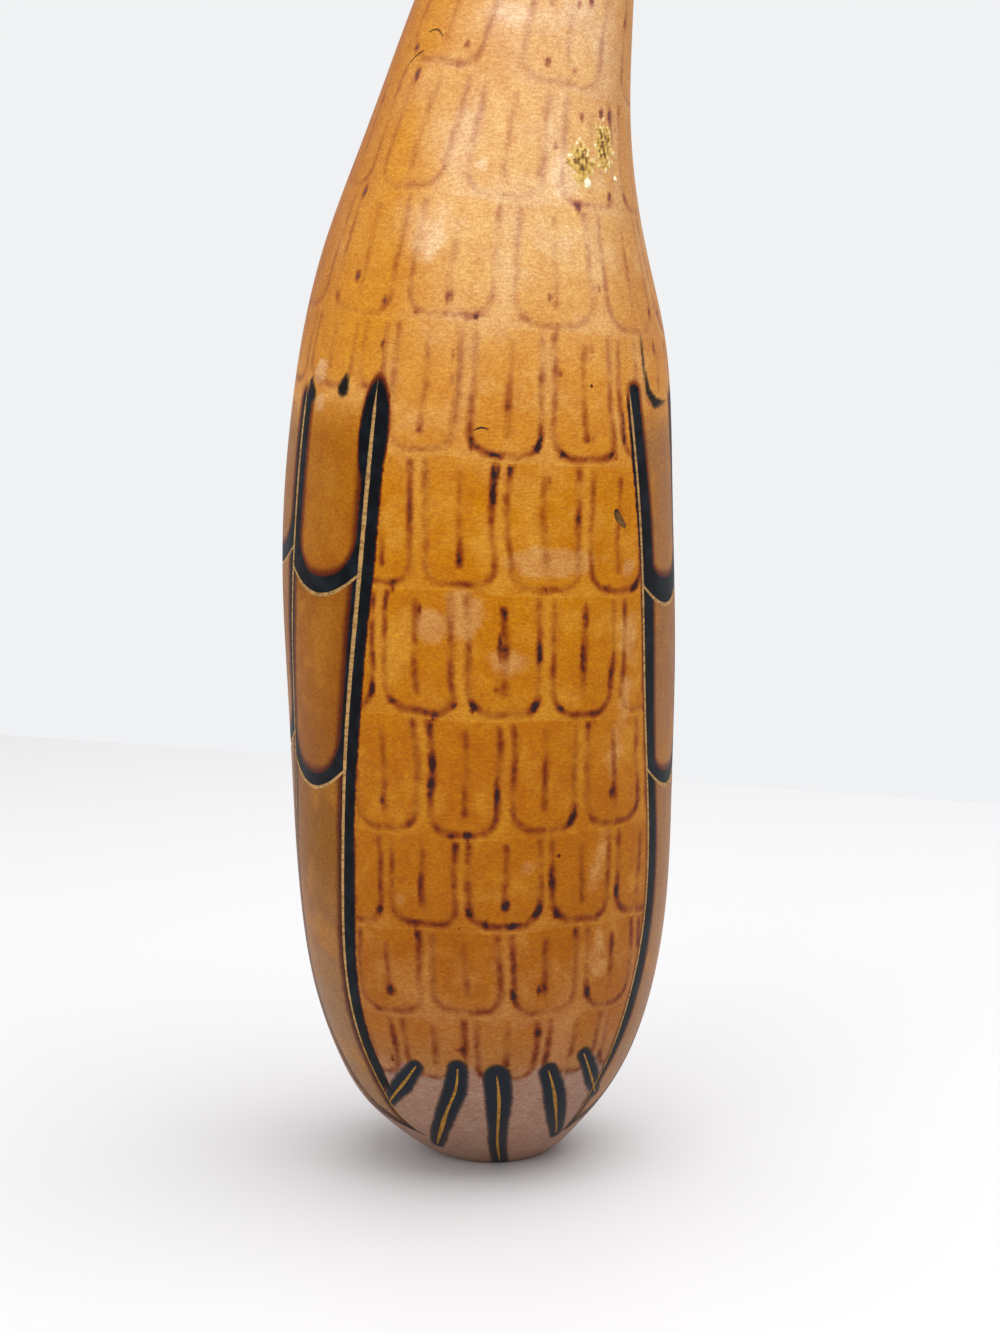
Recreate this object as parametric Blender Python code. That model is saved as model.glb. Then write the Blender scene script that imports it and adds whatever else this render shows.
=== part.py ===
"""A dried bottle gourd with a long leaning neck, standing on a small flat it was sanded to.

The gourd grew as one piece, from the foot at its blossom end to the woody stem, so it is one solid.
Metres, +Z up. The origin is the middle of the foot. The side that shows its back faces -Y, and the neck
leans towards +X and a little towards +Y.
"""

import math

import bmesh
import bpy
import numpy as np

# Driving sizes of the gourd
FOOT_RADIUS = 0.0160
BELLY_RADIUS = 0.0547
WAIST_RADIUS = 0.0207
STEM_RADIUS = 0.0040
TIP_HEIGHT = 0.4225
STEM_NECK_HEIGHT = 0.4305
STEM_HEIGHT = 0.4460

# The skin's swells: how many go round, how they wind with height, where they start, and how high they are
SWELLS = (
    (2, 31.0, 0.0, 0.00035),
    (3, -47.0, 1.3, 0.00024),
    (5, 83.0, 0.6, 0.00014),
)
SWELLS_BEGIN = 0.04
SWELLS_END = 0.39

# The furrows of the woody stem, as a share of its radius
STEM_FURROW = 0.17
STEM_RIDGES = 5

# The skin is a net of this many sides, with this many steps between two stations
SIDES = 64
STEPS = 3

# Each station is a round of the gourd: the height, the sideways place and the backward place of its
# middle, its radius, and how many degrees it leans towards +X
STATIONS = (
    (0.0000, 0.0000, 0.0000, FOOT_RADIUS, 0.0),
    (0.0030, -0.0008, 0.0000, 0.0209, 0.0),
    (0.0080, -0.0018, 0.0000, 0.0266, 0.0),
    (0.0160, -0.0027, -0.0001, 0.0341, 0.0),
    (0.0300, -0.0024, -0.0002, 0.0424, 0.0),
    (0.0500, -0.0025, -0.0003, 0.0490, 0.0),
    (0.0800, -0.0028, -0.0005, 0.0528, 0.0),
    (0.1160, -0.0030, -0.0006, 0.0540, 0.0),
    (0.1520, -0.0035, -0.0006, BELLY_RADIUS, 0.0),
    (0.1870, -0.0038, -0.0006, 0.0543, 0.0),
    (0.2150, -0.0033, -0.0006, 0.0528, 1.0),
    (0.2360, -0.0023, -0.0002, 0.0502, 2.5),
    (0.2570, -0.0011, 0.0002, 0.0452, 4.5),
    (0.2770, 0.0012, 0.0010, 0.0395, 7.0),
    (0.3000, 0.0049, 0.0020, 0.0339, 10.0),
    (0.3240, 0.0100, 0.0033, 0.0293, 13.5),
    (0.3450, 0.0152, 0.0045, 0.0254, 17.0),
    (0.3650, 0.0217, 0.0056, 0.0224, 20.5),
    (0.3840, 0.0291, 0.0066, 0.0210, 24.0),
    (0.4000, 0.0364, 0.0075, WAIST_RADIUS, 27.0),
    (0.4110, 0.0421, 0.0080, 0.0186, 29.0),
    (0.4185, 0.0463, 0.0084, 0.0142, 30.0),
    (TIP_HEIGHT, 0.0487, 0.0086, 0.0090, 30.5),
    (0.4260, 0.0508, 0.0088, 0.0059, 31.5),
    (STEM_NECK_HEIGHT, 0.0536, 0.0090, 0.0046, 33.0),
    (0.4375, 0.0588, 0.0094, STEM_RADIUS, 36.0),
    (STEM_HEIGHT, 0.0652, 0.0098, 0.0044, 39.0),
)

SKIN_COLOUR = (0.60, 0.30, 0.09, 1.0)
SKIN_ROUGHNESS = 0.32
SHARP_ANGLE = math.radians(35)


def clear_scene():
    for thing in list(bpy.data.objects):
        bpy.data.objects.remove(thing, do_unlink=True)


def ease(low, high, value):
    """0 below low, 1 above high, and a smooth S between them."""
    share = np.clip((value - low) / (high - low), 0.0, 1.0)
    return share * share * (3.0 - 2.0 * share)


def lengths_along(stations):
    """How far each station lies along the skin's outline, from the foot's edge."""
    outline = stations[:, [0, 1, 3]]
    return np.concatenate([[0.0], np.cumsum(np.linalg.norm(np.diff(outline, axis=0), axis=1))])


def smooth_rows(along, rows, wanted):
    """Rows at the wanted lengths, on a natural cubic spline through the given rows."""
    last = len(along) - 1
    gap = np.diff(along)
    matrix = np.eye(last + 1)
    pull = np.zeros_like(rows)
    for i in range(1, last):
        matrix[i, i - 1 : i + 2] = gap[i - 1], 2.0 * (gap[i - 1] + gap[i]), gap[i]
        pull[i] = 6.0 * ((rows[i + 1] - rows[i]) / gap[i] - (rows[i] - rows[i - 1]) / gap[i - 1])
    bend = np.linalg.solve(matrix, pull)
    left = np.clip(np.searchsorted(along, wanted, side="right") - 1, 0, last - 1)
    step = gap[left][:, None]
    before = (wanted - along[left])[:, None]
    after = step - before
    curved = (bend[left] * after**3 + bend[left + 1] * before**3) / (6.0 * step)
    from_left = (rows[left] / step - bend[left] * step / 6.0) * after
    from_right = (rows[left + 1] / step - bend[left + 1] * step / 6.0) * before
    return curved + from_left + from_right


def gourd_rings():
    """The skin's points, one ring after another from the foot to the stem's end."""
    stations = np.array(STATIONS)
    along = lengths_along(stations)
    shares = np.arange(STEPS) / STEPS
    wanted = np.append((along[:-1, None] + np.diff(along)[:, None] * shares).ravel(), along[-1])
    height, side, back, radius, lean = smooth_rows(along, stations, wanted).T[:, :, None]
    lean = np.radians(lean)
    turn = np.arange(SIDES) * 2.0 * math.pi / SIDES

    swell = sum(rise * np.sin(count * turn + wind * height + start) for count, wind, start, rise in SWELLS)
    swell = swell * ease(0.0, SWELLS_BEGIN, height) * (1.0 - ease(SWELLS_END, TIP_HEIGHT, height))
    stem = ease(TIP_HEIGHT, STEM_NECK_HEIGHT, height)
    reach = (radius + swell) * (1.0 + STEM_FURROW * stem * np.cos(STEM_RIDGES * turn))

    x = side + reach * np.sin(turn) * np.cos(lean)
    y = back - reach * np.cos(turn)
    z = height - reach * np.sin(turn) * np.sin(lean)
    return np.stack(np.broadcast_arrays(x, y, z), axis=-1)


def build_gourd(material):
    """Joins the rings with four-sided faces and closes the foot and the stem's end."""
    shape = bmesh.new()
    rings = [[shape.verts.new(point) for point in ring] for ring in gourd_rings().tolist()]
    for lower, upper in zip(rings, rings[1:]):
        for i in range(SIDES):
            j = (i + 1) % SIDES
            shape.faces.new((lower[i], lower[j], upper[j], upper[i]))
    shape.faces.new(list(reversed(rings[0])))
    shape.faces.new(rings[-1])
    bmesh.ops.recalc_face_normals(shape, faces=shape.faces)

    mesh = bpy.data.meshes.new("gourd")
    shape.to_mesh(mesh)
    shape.free()
    mesh.shade_smooth()
    mesh.set_sharp_from_angle(angle=SHARP_ANGLE)
    mesh.materials.append(material)
    gourd = bpy.data.objects.new("gourd", mesh)
    bpy.context.scene.collection.objects.link(gourd)
    return gourd


def skin_material():
    material = bpy.data.materials.new("varnished_skin")
    material.use_nodes = True
    surface = material.node_tree.nodes["Principled BSDF"]
    surface.inputs["Base Color"].default_value = SKIN_COLOUR
    surface.inputs["Roughness"].default_value = SKIN_ROUGHNESS
    surface.inputs["Metallic"].default_value = 0.0
    return material


clear_scene()
build_gourd(skin_material())
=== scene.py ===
"""A dried bottle gourd, burned and carved with the plumage of a bird's back and folded wings.

A place on the skin is given by its turn, in degrees from the side that shows the back towards +X, and by
how far along the outline it lies from the foot's edge, in millimetres.
"""

import math

import bpy
import numpy as np
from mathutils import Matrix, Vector


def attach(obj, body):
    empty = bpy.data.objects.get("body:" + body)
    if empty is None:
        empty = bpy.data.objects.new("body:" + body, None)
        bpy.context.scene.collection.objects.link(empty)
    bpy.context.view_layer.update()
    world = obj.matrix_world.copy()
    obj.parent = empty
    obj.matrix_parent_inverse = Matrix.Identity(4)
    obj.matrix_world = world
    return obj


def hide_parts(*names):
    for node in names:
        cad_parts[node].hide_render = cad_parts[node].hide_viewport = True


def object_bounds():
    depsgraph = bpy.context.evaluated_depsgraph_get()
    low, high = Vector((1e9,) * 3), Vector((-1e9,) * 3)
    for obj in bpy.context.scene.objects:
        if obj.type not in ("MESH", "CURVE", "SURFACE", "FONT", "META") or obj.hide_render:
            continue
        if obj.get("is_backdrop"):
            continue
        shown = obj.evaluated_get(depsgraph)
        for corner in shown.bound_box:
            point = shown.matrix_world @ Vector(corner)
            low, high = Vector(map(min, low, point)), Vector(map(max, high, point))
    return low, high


MM = 0.001

# The gourd's rounds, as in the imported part: height, sideways place, backward place, radius, lean in degrees
FOOT_RADIUS = 0.0160
BELLY_RADIUS = 0.0547
WAIST_RADIUS = 0.0207
STEM_RADIUS = 0.0040
TIP_HEIGHT = 0.4225
STEM_NECK_HEIGHT = 0.4305
STEM_HEIGHT = 0.4460
STATIONS = np.array((
    (0.0000, 0.0000, 0.0000, FOOT_RADIUS, 0.0),
    (0.0030, -0.0008, 0.0000, 0.0209, 0.0),
    (0.0080, -0.0018, 0.0000, 0.0266, 0.0),
    (0.0160, -0.0027, -0.0001, 0.0341, 0.0),
    (0.0300, -0.0024, -0.0002, 0.0424, 0.0),
    (0.0500, -0.0025, -0.0003, 0.0490, 0.0),
    (0.0800, -0.0028, -0.0005, 0.0528, 0.0),
    (0.1160, -0.0030, -0.0006, 0.0540, 0.0),
    (0.1520, -0.0035, -0.0006, BELLY_RADIUS, 0.0),
    (0.1870, -0.0038, -0.0006, 0.0543, 0.0),
    (0.2150, -0.0033, -0.0006, 0.0528, 1.0),
    (0.2360, -0.0023, -0.0002, 0.0502, 2.5),
    (0.2570, -0.0011, 0.0002, 0.0452, 4.5),
    (0.2770, 0.0012, 0.0010, 0.0395, 7.0),
    (0.3000, 0.0049, 0.0020, 0.0339, 10.0),
    (0.3240, 0.0100, 0.0033, 0.0293, 13.5),
    (0.3450, 0.0152, 0.0045, 0.0254, 17.0),
    (0.3650, 0.0217, 0.0056, 0.0224, 20.5),
    (0.3840, 0.0291, 0.0066, 0.0210, 24.0),
    (0.4000, 0.0364, 0.0075, WAIST_RADIUS, 27.0),
    (0.4110, 0.0421, 0.0080, 0.0186, 29.0),
    (0.4185, 0.0463, 0.0084, 0.0142, 30.0),
    (TIP_HEIGHT, 0.0487, 0.0086, 0.0090, 30.5),
    (0.4260, 0.0508, 0.0088, 0.0059, 31.5),
    (STEM_NECK_HEIGHT, 0.0536, 0.0090, 0.0046, 33.0),
    (0.4375, 0.0588, 0.0094, STEM_RADIUS, 36.0),
    (STEM_HEIGHT, 0.0652, 0.0098, 0.0044, 39.0),
))
SWELLS = ((2, 31.0, 0.0, 0.00035), (3, -47.0, 1.3, 0.00024), (5, 83.0, 0.6, 0.00014))
SWELLS_BEGIN = 0.04
SWELLS_END = 0.39
STEM_FURROW = 0.17
STEM_RIDGES = 5

# The finer net of the skin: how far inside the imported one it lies, its sides, the step between its rings,
# and how deep the stem's hollow end is
SKIN_INSET = 0.00006
SKIN_SIDES = 224
SKIN_STEP = 0.00136
END_HOLLOW = 0.0013

# The drawing lies this far round the skin towards +X
DRAWN_ASIDE = 0.0011

# The lines that part the back from the wings, and the wings' strips from each other:
# how far along, the turn of the back's middle, and the turns from it to the lines A, B and C
WING_LINES = np.array((
    (17.0, 5.0, 41.0, 42.0, 43.0),
    (25.0, 2.4, 46.4, 58.0, 67.0),
    (32.0, 1.2, 47.2, 68.0, 84.0),
    (45.0, 0.4, 49.0, 74.0, 103.0),
    (57.0, 1.4, 50.6, 78.0, 112.0),
    (80.0, 4.8, 52.5, 83.0, 120.0),
    (100.0, 6.2, 52.4, 84.6, 121.5),
    (122.0, 6.3, 51.0, 82.2, 119.5),
    (145.0, 6.5, 48.7, 79.8, 117.0),
    (175.0, 7.4, 45.5, 77.0, 112.3),
    (200.0, 8.1, 43.0, 75.6, 108.8),
    (220.0, 8.1, 41.3, 74.0, 106.0),
    (240.0, 7.6, 39.9, 72.0, 104.0),
))
WING_TOP = 233.0
WING_TIP = 17.0

# The rows of scales from the tail to the neck: how far along their rounded ends lie, how many go round,
# the turn of one of them, and the share of its room that a scale fills
SCALE_ROWS = (
    (44.0, 15, 5.6, 0.83),
    (64.4, 15, -6.6, 0.83),
    (89.6, 15, 5.4, 0.84),
    (115.8, 15, -6.6, 0.82),
    (147.2, 15, 6.0, 0.81),
    (180.8, 15, -6.0, 0.81),
    (216.0, 15, 6.4, 0.83),
    (251.6, 11, -12.0, 0.80),
    (285.2, 10, 1.2, 0.77),
    (318.0, 6, 21.8, 0.68),
    (349.0, 6, -8.0, 0.70),
    (380.0, 6, 21.0, 0.72),
    (410.0, 6, -9.0, 0.72),
)

# The rounded tips of the wing feathers: how far along each lies in the strips outside lines A and B, and
# how much higher its two ends are
TIP_BOTTOMS = {
    -1: {"A": (177.0, 123.2), "B": (182.5, 130.0)},
    1: {"A": (172.6, 121.5), "B": (179.0, 127.0)},
}
TIP_RISE = 6.8

# The gouge that carved the lines: its depth, radius and how far its middle stands off, as shares of a width
GOUGE_DEPTH = 0.36
GOUGE_RADIUS = (0.25 + GOUGE_DEPTH**2) / (2.0 * GOUGE_DEPTH)
GOUGE_ABOVE = GOUGE_RADIUS - GOUGE_DEPTH
GOUGE_SIDES = 12
ARC_WIDTH = 1.05
OUTER_LINE = ((17.0, 45.0, 120.0, 235.0), (0.5, 0.7, 0.9, 1.1))
LINE_WIDTHS = {
    ("A", -1): ((17.0, 45.0, 80.0, 120.0, 170.0, 210.0, 235.0), (0.5, 0.8, 1.0, 1.2, 1.5, 1.4, 0.8)),
    ("A", 1): ((17.0, 45.0, 120.0, 235.0), (0.5, 0.7, 0.9, 1.0)),
    ("B", -1): OUTER_LINE,
    ("B", 1): OUTER_LINE,
    ("C", -1): OUTER_LINE,
    ("C", 1): OUTER_LINE,
}

# The five cuts of the tail: their places on the skin, the cuts' widths there, and half the widths of the
# black strokes that they run down
TAIL_CUTS = (
    (((-26.2, 46.5), (-33.6, 39.7), (-45.6, 31.2)), (0.5, 1.0, 0.6), (1.9, 2.7, 1.5)),
    (((-10.6, 47.0), (-12.1, 39.5), (-15.9, 32.5), (-20.0, 26.0), (-28.0, 17.5), (-35.0, 12.5)),
     (0.4, 0.9, 0.8, 1.4, 1.0, 0.4), (2.6, 3.1, 2.8, 2.4, 2.0, 1.4)),
    (((3.2, 44.6), (4.6, 36.0), (5.2, 24.0), (4.6, 12.0), (4.4, 1.5)),
     (0.4, 1.1, 0.8, 0.8, 0.4), (3.4, 3.4, 2.4, 2.1, 1.9)),
    (((22.0, 45.4), (28.4, 34.6), (34.0, 26.0), (42.0, 16.5)), (0.4, 1.2, 0.7, 0.4), (2.5, 3.0, 2.6, 1.7)),
    (((35.2, 49.4), (44.0, 39.5), (52.5, 32.5)), (0.4, 0.8, 0.4), (2.0, 2.2, 1.4)),
)

# Black marks over the wings' tops: places on the skin, and half the widths there
SHOULDER_MARKS = (
    (((-62.6, 233.0), (-61.4, 229.6)), (0.8, 2.1)),
    (((-44.4, 235.0), (-45.4, 231.8)), (0.5, 1.8)),
    (((55.6, 249.0), (56.6, 239.2)), (-0.2, 0.2)),
    (((56.6, 239.2), (58.2, 232.4), (62.4, 229.0), (68.6, 228.9), (72.6, 229.4)),
     (0.2, 0.9, 1.4, 0.3, -0.3)),
)

# Scratches and an old scar: places on the skin, and the widths there
SCRATCHES = (
    (((-2.6, 222.4), (-0.6, 223.2), (1.8, 222.6)), (0.3, 0.6, 0.3)),
    (((-51.0, 325.0), (-45.6, 326.0), (-41.0, 324.4)), (0.3, 0.8, 0.3)),
    (((-57.7, 316.0), (-52.8, 319.0), (-49.6, 320.2)), (0.3, 0.6, 0.3)),
)
SCAR = (((41.2, 200.8), (41.3, 199.4), (42.8, 197.4), (44.8, 195.6)), (1.4, 2.3, 2.4, 1.2))
SHARP_ANGLE = math.radians(32)

# How the scales are drawn, in millimetres: how far a line's outer half reaches into the row beneath, how
# much the middle rows sink towards +X, and the roundness of a scale's corners as a share of half its width
LINE_OVERLAP = 1.9
TILT = 3.2
CORNER_SHARE = 0.62

# Where the burner stayed longest on the side in view: turn, along, half the touch's height in millimetres,
# and how dark it is, 0 to 1
TOUCH_WIDTH = 1.5
BURNT_TOUCHES = (
    (25.9, 340.7, 3, 0.7), (33.2, 342, 2.2, 0.9), (10.8, 339, 2, 0.7), (63, 339, 2.2, 0.7),
    (-31, 333, 4, 0.4), (48.9, 324, 4, 0.4), (-26.6, 323.6, 2, 0.8), (13.4, 323, 2.2, 0.9),
    (27.9, 322, 2.6, 0.7), (-14, 318, 1.2, 0.6), (-28.6, 317, 4, 0.4), (45.6, 312, 2.2, 1),
    (52, 311.6, 3.4, 1), (57, 308.5, 2.6, 0.6), (33.5, 309.8, 2.4, 0.8), (-3.4, 306, 3, 0.4),
    (-16.2, 305, 3.4, 0.5), (-46.5, 303, 5, 0.4), (20.9, 300.5, 2.8, 0.7), (-37, 296, 4, 0.4),
    (45.9, 294.8, 3.4, 0.5), (13.5, 292.4, 2.5, 0.5), (-0.6, 291, 3, 0.4), (49.0, 288.2, 2.3, 1),
    (31.6, 284.2, 2.8, 1), (-39.8, 284, 1.4, 0.6), (-27.4, 280.8, 1.3, 0.6), (-48, 279, 2.5, 0.4),
    (39.2, 276, 3.4, 0.5), (-33.8, 264, 3, 0.5), (32.6, 262.8, 2, 0.6), (38.1, 261.5, 3, 0.7),
    (-47.4, 260.7, 2.6, 1), (19.6, 257.9, 2.7, 0.8), (-12.2, 256.5, 2.4, 0.9), (-34.1, 254.7, 2.6, 0.9),
    (-22, 252.7, 1.8, 0.9), (10, 252, 1.4, 0.7), (-2.8, 251.9, 1.4, 0.9), (-6, 251.4, 1.2, 0.8),
    (21.2, 248, 2, 0.8), (33.2, 244.3, 2.7, 0.7), (-32.2, 243.7, 2, 0.9), (-9.6, 241.9, 2.7, 0.7),
    (22, 237.5, 1.7, 0.9), (16.5, 236.7, 2.4, 0.8), (-9.1, 235.4, 3, 0.7), (6.6, 228.5, 3.4, 0.7),
    (-19, 223, 2.4, 0.6), (44, 223, 4, 0.7), (33, 220, 2.4, 0.7), (16, 218, 1.9, 0.8),
    (-3, 218, 1.7, 0.9), (23, 216, 1.7, 0.9), (41, 215, 2, 0.9), (9, 213, 2.2, 0.7), (4, 212, 4, 1),
    (19, 209, 2.7, 0.7), (4, 205, 4.5, 0.6), (-7, 198, 4.5, 0.4), (29, 197, 5.4, 0.4),
    (-6, 188, 2.2, 0.7), (19, 188, 2, 0.7), (-26, 181, 2.5, 0.9), (38, 180, 1.6, 0.8),
    (49, 179, 1.6, 0.7), (-8, 178, 2.7, 0.5), (6, 176, 2.5, 0.7), (-18, 175, 2.8, 0.9),
    (30, 174, 3.6, 0.9), (5, 165, 6, 1), (16, 163, 2.7, 0.5), (29, 160, 5.4, 0.6), (-32, 160, 2.7, 0.7),
    (39, 155, 3.4, 0.6), (4, 154, 2, 0.8), (-33, 152, 2.2, 0.9), (-8, 150, 1.6, 0.8),
    (-27, 150, 1.4, 0.7), (-3, 149, 2, 1), (14.6, 149, 2, 1), (22, 149, 1.4, 0.7), (-14, 146, 1.8, 0.9),
    (33, 144, 1.8, 0.7), (-15, 135, 2.7, 0.8), (41, 135, 4.5, 0.7), (3, 127, 5.4, 0.5),
    (-16, 126, 5.4, 0.5), (40, 124, 2.5, 1), (-31, 123, 1.3, 0.8), (17, 122, 1.8, 0.8),
    (-21, 118, 1.4, 0.8), (26, 118, 1.8, 0.8), (33, 117, 1.3, 0.7), (-5, 114, 1.4, 1),
    (-9, 114, 2, 0.7), (-33, 112, 1.6, 0.7), (6, 111, 2.3, 0.9), (20, 101, 2.1, 0.6), (44, 100, 6, 0.5),
    (-19, 98, 4, 0.9), (6, 95, 1.8, 0.8), (-4.5, 93, 1.8, 1), (-33, 93, 1.3, 0.8), (15, 93, 1.8, 0.9),
    (21, 92, 1.8, 0.9), (0, 91, 1.3, 0.8), (8.5, 90, 1.3, 0.9), (-21, 88, 2, 0.7), (27, 86, 2, 0.7),
    (42, 78, 4.5, 0.6), (16.5, 71, 2.3, 1), (-30, 70, 2.5, 0.9), (8, 70, 1.8, 0.7), (34, 69, 1.8, 0.7),
    (16, 58, 1.6, 0.9), (-10, 53, 1.3, 0.8), (30, 50, 1.6, 0.7), (-35, 48, 2, 0.9), (5, 48, 1.3, 0.7),
    (39, 47, 1.6, 0.9),
)

# On the sides out of view the touches are drawn by lot: how far aside of a scale's middle they lie as a
# share of half its width, how far up as a share of the row's height, half their height, and how many have one
SEEN_MIDDLE = 6.0
SEEN_REACH = 52.0
SEEN_TOP = 340.0
TOUCH_KINDS = (
    (-0.85, 0.09, 1.8, 0.50),
    (0.85, 0.09, 1.8, 0.50),
    (0.0, 0.30, 2.2, 0.45),
    (0.0, 0.62, 4.0, 0.25),
    (-1.0, 0.86, 3.0, 0.30),
    (1.0, 0.80, 3.4, 0.30),
)

# Pale scuffs, where the varnish is rubbed thin, and a painted sheen, a pale streak of reflected light down
# the
# right of the side in view: turn, along, half the width and half the height in millimetres, how far the
# oval's top leans towards +X for each millimetre up, and how strong it is
SCUFFS_AND_SHEEN = (
    (-5.5, 174.0, 5.8, 7.4, 0.0, 1.0),
    (-14.0, 171.2, 5.6, 5.4, 0.0, 0.9),
    (20.5, 187.2, 13.5, 4.2, 0.0, 1.0),
    (7.0, 161.5, 7.0, 5.2, 0.0, 0.7),
    (46.0, 184.4, 2.7, 2.9, 0.0, 1.0),
    # Painted sheen: the next five ovals draw a pale streak of reflected light, not worn varnish
    (46.5, 166.0, 4.2, 9.0, 0.0, 0.7),
    (45.0, 149.0, 4.0, 9.0, 0.0, 0.6),
    (41.0, 134.0, 4.0, 10.0, 0.1, 0.5),
    (36.0, 103.0, 5.0, 13.0, 0.1, 0.5),
    (37.0, 79.0, 4.6, 9.0, 0.0, 0.5),
    (-57.2, 235.2, 4.0, 3.4, 0.0, 0.9),
    (-55.6, 228.0, 2.8, 3.0, 0.0, 0.8),
    (-25.8, 95.9, 2.9, 2.8, 0.0, 0.5),
    (11.5, 105.2, 3.2, 2.8, 0.0, 0.5),
    (26.5, 292.0, 4.6, 6.5, 0.0, 0.9),
    (-8.0, 292.2, 3.0, 2.6, 0.0, 0.7),
    (-10.0, 334.0, 7.0, 4.0, 0.0, 0.8),
    (-22.0, 271.0, 6.0, 8.0, 0.0, 0.6),
    (150.0, 190.0, 6.0, 3.0, 0.0, 0.9),
    (-140.0, 120.0, 3.0, 8.0, 0.2, 0.8),
    (110.0, 90.0, 4.0, 3.0, 0.0, 0.7),
    (-165.0, 236.0, 5.0, 3.4, 0.0, 0.8),
)

# Two patches of gilt crust on the neck: turn and along of the middle, half the width and half the height in
# millimetres, and the pale grain at its lower end: turn, along. The crust's heights are in millimetres
CRUSTS = (
    ((33.8, 296.8), (4.3, 6.5), (36.6, 291.5)),
    ((47.2, 302.6), (4.1, 7.4), (55.2, 293.8)),
)
CRUST_STEP = 0.14
CRUST_ROOT = 0.35
CRUST_MARGIN = 1.25
CRUST_SUNK = -0.20
CRUST_TOP = 0.42
GRAIN_WIDE = 1.0
GRAIN_TALL = 0.95

# Over the wings' tops the last row of scales lies higher than on the back, and further round
SHOULDER_ROW = 6
SHOULDER_LIFT = 14.0
SHOULDER_TURN = 12.0

# The colours of the skin by how far along they lie, and of the plumage
SKIN_SHADES = (
    (0.0, (150, 118, 98)),
    (36.0, (150, 116, 90)),
    (48.0, (160, 104, 50)),
    (58.0, (164, 97, 28)),
    (80.0, (162, 90, 0)),
    (105.0, (173, 100, 0)),
    (130.0, (177, 102, 0)),
    (165.0, (190, 116, 0)),
    (205.0, (196, 120, 0)),
    (235.0, (213, 143, 53)),
    (275.0, (226, 175, 108)),
    (340.0, (230, 178, 119)),
    (430.0, (222, 169, 110)),
)
BLOOM_SHADES = (
    (0.0, (160, 128, 108)),
    (58.0, (174, 114, 60)),
    (105.0, (187, 119, 20)),
    (165.0, (203, 136, 36)),
    (205.0, (210, 142, 44)),
    (235.0, (221, 162, 88)),
    (275.0, (232, 188, 135)),
    (340.0, (234, 190, 144)),
    (430.0, (226, 179, 127)),
)
TAIL_SHADES = ((142, 111, 94), (165, 125, 104))
WING_SHADES = (((167, 97, 0), (160, 89, 0)), ((148, 84, 0), (139, 80, 0)), ((136, 84, 12), (146, 106, 66)))
FEATHER_BLOOM = (178, 112, 22)
OUTER_FEATHER = (152, 104, 60)
AMBER = (208, 134, 20)
# A painted shade: the colour that darkens the neck's sides, away from the side in view
PAINTED_SIDE_SHADE = (224, 202, 168)
SCUFF_AND_SHEEN_SHADES = ((210, 160, 104), (246, 212, 176))
STAINS = ((184, 130, 80), (200, 164, 176), (150, 92, 70), (136, 140, 152))
# The last char is a blue-grey black: partly the soot's own colour, partly a painted sheen on the black
CHARS = ((56, 20, 10), (48, 28, 30), (112, 66, 66), (12, 14, 18), (28, 36, 44))
CRUST_SHADES = (
    (0.0, (52, 36, 14)),
    (0.28, (124, 88, 32)),
    (0.48, (204, 158, 66)),
    (0.8, (236, 202, 122)),
    (1.0, (255, 248, 216)),
)

# The shades of the cuts' flesh, low and high on the gourd, of the scar, the foot and the stem
FLESH_LOW = ((128, 84, 26), (180, 132, 52))
FLESH_HIGH = ((146, 106, 58), (200, 160, 100))
SCAR_SHADES = ((52, 30, 10), (132, 88, 32))
FOOT_SHADES = ((150, 112, 78), (190, 150, 106))
STEM_SHADES = ((84, 62, 42), (168, 136, 98), (196, 148, 96))

# The camera, and the two ends of the floor's far edge that it sees
CAMERA_PLACE = (0.0021, -0.800, 0.257)
CAMERA_PITCH = 8.3
FOCAL_PIXELS = 2857.0
PHOTO_HEIGHT = 1333.0
SENSOR = 36.0
FLOOR_EDGE = ((-0.264, 0.708), (0.2305, 0.517))
FLOOR_HALF = 4.0
FLOOR_DEEP = 6.0
FLOOR_SHADE = (229, 229, 230)
WALL_SHADE = (0.875, 0.885, 0.90, 1.0)
ROOM_SHADE = (0.58, 0.58, 0.59, 1.0)

# The lamps: name, place, what it is aimed at, its two sides, and its watts
LAMPS = (
    ("ceiling", (0.18, -0.02, 1.3), (0.0, 0.0, 0.1), (1.5, 1.5), 17.5),
    ("window", (-0.9, -1.6, 0.9), (0.0, 0.0, 0.2), (1.4, 1.4), 8.5),
)


def ease(low, high, value):
    """0 below low, 1 above high, and a smooth S between them."""
    share = np.clip((value - low) / (high - low), 0.0, 1.0)
    return share * share * (3.0 - 2.0 * share)


def smooth_rows(along, rows, wanted):
    """Rows at the wanted lengths, on a natural cubic spline through the given rows."""
    last = len(along) - 1
    gap = np.diff(along)
    matrix = np.eye(last + 1)
    pull = np.zeros_like(rows)
    for i in range(1, last):
        matrix[i, i - 1 : i + 2] = gap[i - 1], 2.0 * (gap[i - 1] + gap[i]), gap[i]
        pull[i] = 6.0 * ((rows[i + 1] - rows[i]) / gap[i] - (rows[i] - rows[i - 1]) / gap[i - 1])
    bend = np.linalg.solve(matrix, pull)
    left = np.clip(np.searchsorted(along, wanted, side="right") - 1, 0, last - 1)
    step = gap[left][:, None]
    before = (wanted - along[left])[:, None]
    after = step - before
    curved = (bend[left] * after**3 + bend[left + 1] * before**3) / (6.0 * step)
    from_left = (rows[left] / step - bend[left] * step / 6.0) * after
    from_right = (rows[left + 1] / step - bend[left + 1] * step / 6.0) * before
    return curved + from_left + from_right


OUTLINE = STATIONS[:, [0, 1, 3]]
STATION_ALONG = np.concatenate([[0.0], np.cumsum(np.linalg.norm(np.diff(OUTLINE, axis=0), axis=1))])
SKIN_LENGTH = STATION_ALONG[-1]
TIP_ALONG = STATION_ALONG[list(STATIONS[:, 0]).index(TIP_HEIGHT)]


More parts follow.
